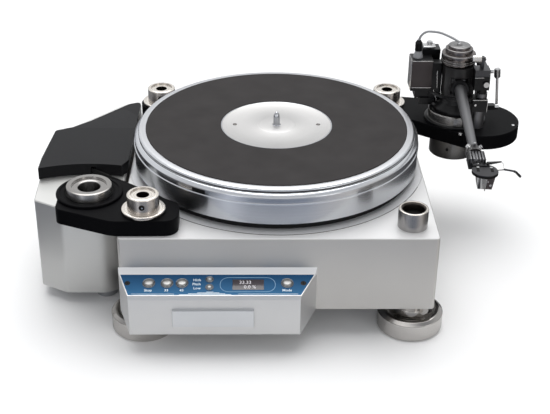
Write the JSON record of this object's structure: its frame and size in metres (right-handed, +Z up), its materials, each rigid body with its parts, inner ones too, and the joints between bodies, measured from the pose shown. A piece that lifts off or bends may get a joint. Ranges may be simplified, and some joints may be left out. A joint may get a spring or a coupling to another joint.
{
  "type": "turntable",
  "caption": "Belt-driven turntable: square metal chassis on round feet, thick polished platter, outboard motor unit with belt cover, front control console, two armboards and a tonearm",
  "frame": {"origin": "on the platter axis, at the top face of the mat, where the spindle carries the record", "axes": "+Z up along the spindle; the front console looks along -Y; +X is the side of the fitted tonearm"},
  "size_m": [0.5503, 0.3671, 0.2396],
  "materials": {
    "chassis_metal": "satin, bead blasted",
    "plate_metal": "satin",
    "polished_metal": "mirror polished",
    "dark_chrome": "dark polished",
    "mat_black": "matte",
    "label_metal": "fine brushed",
    "steel": "fine ground",
    "belt_rubber": "matte",
    "black_satin": "satin black",
    "black_plastic": "matte",
    "panel_blue": "satin blue",
    "window_dark": "dark tinted",
    "board_green": "circuit board",
    "plate_plain": "brushed, bare",
    "button_metal": "polished",
    "tube_grey": "satin dark grey",
    "cap_grey": "satin grey",
    "lead_grey": "smooth",
    "cartridge_silver": "satin",
    "brass_part": "turned"
  },
  "bodies": {
    "root": {"chassis": "chassis_metal", "bottom_plate": "plate_metal", "base_plate": "chassis_metal", "link_sockets": "black_plastic", "bearing_sleeve": "brass_part", "corner_posts": "polished_metal", "clamp_hubs": "polished_metal", "rear_spacer": "black_satin", "belt": "belt_rubber", "motor": "plate_metal", "motor_housing": "chassis_metal", "motor_base": "plate_metal", "motor_cover": "black_satin", "console_housing": "chassis_metal", "control_panel": "panel_blue", "panel_screws": "steel", "display_window": "window_dark", "control_board": "board_green", "nameplate": "plate_plain"},
    "platter_body": {"platter": "polished_metal", "platter_mat": "mat_black", "label_disc": "label_metal", "label_screws": "steel", "spindle": "steel", "bearing_shaft": "steel"},
    "pulley_body": {"motor_pulley": "plate_metal", "motor_shaft": "steel"},
    "left_board_body": {"left_armboard": "black_satin", "collar_disc": "black_satin", "arm_collar": "polished_metal"},
    "right_board_body": {"right_armboard": "black_satin", "board_pins": "steel", "arm_base": "dark_chrome", "arm_pillar": "black_satin", "lead_block": "black_satin", "lead_plug": "black_plastic", "lead_loop": "lead_grey", "height_column": "black_satin", "column_bridge": "tube_grey"},
    "yoke_body": {"arm_yoke": "black_satin", "bearing_cap": "cap_grey"},
    "arm_body": {"arm_tube": "tube_grey", "counterweight": "steel", "headshell": "tube_grey", "cartridge": "cartridge_silver"},
    "cue_lift_body": {"cue_rod": "steel"},
    "cue_lever_body": {"cue_lever": "button_metal"},
    "height_knob_body": {"height_knob": "button_metal"},
    "lock_knob_body": {"lock_knob": "button_metal"},
    "adjuster_knob_body": {"adjuster_knob": "button_metal"},
    "button_stop_body": {"button_stop": "button_metal"},
    "button_slow_body": {"button_slow": "button_metal"},
    "button_fast_body": {"button_fast": "button_metal"},
    "button_mode_body": {"button_mode": "button_metal"},
    "button_trim_up_body": {"button_trim_up": "button_metal"},
    "button_trim_down_body": {"button_trim_down": "button_metal"},
    "foot_front_left_body": {"foot_front_left": "plate_metal"},
    "foot_front_right_body": {"foot_front_right": "plate_metal"},
    "foot_rear_left_body": {"foot_rear_left": "plate_metal"},
    "foot_rear_right_body": {"foot_rear_right": "plate_metal"}
  },
  "joints": [
    {"name": "platter_spin", "type": "hinge", "parent": "root", "child": "platter_body", "pos_m": [0, 0, -0.02], "axis": [0, 0, 1], "continuous": true},
    {"name": "pulley_spin", "type": "hinge", "parent": "root", "child": "pulley_body", "pos_m": [-0.212, -0.01, -0.042], "axis": [0, 0, 1], "continuous": true},
    {"name": "left_board_swing", "type": "hinge", "parent": "root", "child": "left_board_body", "pos_m": [-0.137, -0.1455, -0.037], "axis": [0, 0, 1], "range_deg": [-8, 15]},
    {"name": "right_board_swing", "type": "hinge", "parent": "root", "child": "right_board_body", "pos_m": [0.137, 0.123, -0.037], "axis": [0, 0, 1], "range_deg": [-10, 15]},
    {"name": "arm_swing", "type": "hinge", "parent": "right_board_body", "child": "yoke_body", "pos_m": [0.2145, 0.082, 0.0185], "axis": [0, 0, -1], "range_deg": [0, 54]},
    {"name": "arm_lift", "type": "hinge", "parent": "yoke_body", "child": "arm_body", "pos_m": [0.2145, 0.082, 0.0185], "axis": [-0.9973, 0.0732, 0], "range_deg": [-0.4, 8]},
    {"name": "cue_lever_turn", "type": "hinge", "parent": "right_board_body", "child": "cue_lever_body", "pos_m": [0.263, 0.08, -0.014], "axis": [1, 0, 0], "range_deg": [0, 70]},
    {"name": "cue_lift", "type": "slide", "parent": "right_board_body", "child": "cue_lift_body", "axis": [0, 0, 1], "range_m": [-0.0031, 0.0001]},
    {"name": "height_knob_turn", "type": "hinge", "parent": "right_board_body", "child": "height_knob_body", "pos_m": [0.23, 0.06, 0.054], "axis": [1, 0, 0], "range_deg": [-180, 180]},
    {"name": "lock_knob_turn", "type": "hinge", "parent": "right_board_body", "child": "lock_knob_body", "pos_m": [0.248, 0.059, 0.04], "axis": [1, 0, 0], "range_deg": [-90, 90]},
    {"name": "adjuster_knob_turn", "type": "hinge", "parent": "right_board_body", "child": "adjuster_knob_body", "pos_m": [0.184, 0.12, 0.046], "axis": [0, 0, 1], "range_deg": [-180, 180]},
    {"name": "button_stop_press", "type": "slide", "parent": "root", "child": "button_stop_body", "axis": [0, 0.2951, -0.9555], "range_m": [0, 0.001], "stiffness_N_per_m": 400, "springref_m": -0.0005},
    {"name": "button_slow_press", "type": "slide", "parent": "root", "child": "button_slow_body", "axis": [0, 0.2951, -0.9555], "range_m": [0, 0.001], "stiffness_N_per_m": 400, "springref_m": -0.0005},
    {"name": "button_fast_press", "type": "slide", "parent": "root", "child": "button_fast_body", "axis": [0, 0.2951, -0.9555], "range_m": [0, 0.001], "stiffness_N_per_m": 400, "springref_m": -0.0005},
    {"name": "button_mode_press", "type": "slide", "parent": "root", "child": "button_mode_body", "axis": [0, 0.2951, -0.9555], "range_m": [0, 0.001], "stiffness_N_per_m": 400, "springref_m": -0.0005},
    {"name": "button_trim_up_press", "type": "slide", "parent": "root", "child": "button_trim_up_body", "axis": [0, 0.2951, -0.9555], "range_m": [0, 0.001], "stiffness_N_per_m": 400, "springref_m": -0.0005},
    {"name": "button_trim_down_press", "type": "slide", "parent": "root", "child": "button_trim_down_body", "axis": [0, 0.2951, -0.9555], "range_m": [0, 0.001], "stiffness_N_per_m": 400, "springref_m": -0.0005},
    {"name": "foot_front_left_turn", "type": "hinge", "parent": "root", "child": "foot_front_left_body", "pos_m": [-0.1406, -0.151, -0.15], "axis": [0, 0, 1], "range_deg": [-180, 180]},
    {"name": "foot_front_right_turn", "type": "hinge", "parent": "root", "child": "foot_front_right_body", "pos_m": [0.1406, -0.151, -0.15], "axis": [0, 0, 1], "range_deg": [-180, 180]},
    {"name": "foot_rear_left_turn", "type": "hinge", "parent": "root", "child": "foot_rear_left_body", "pos_m": [-0.126, 0.121, -0.15], "axis": [0, 0, 1], "range_deg": [-180, 180]},
    {"name": "foot_rear_right_turn", "type": "hinge", "parent": "root", "child": "foot_rear_right_body", "pos_m": [0.126, 0.121, -0.15], "axis": [0, 0, 1], "range_deg": [-180, 180]}
  ],
  "couplings": [
    {"joint": "pulley_spin", "follows": "platter_spin", "ratio": 11.892},
    {"joint": "cue_lift", "follows": "cue_lever_turn", "m_per_rad": -0.002456}
  ]
}
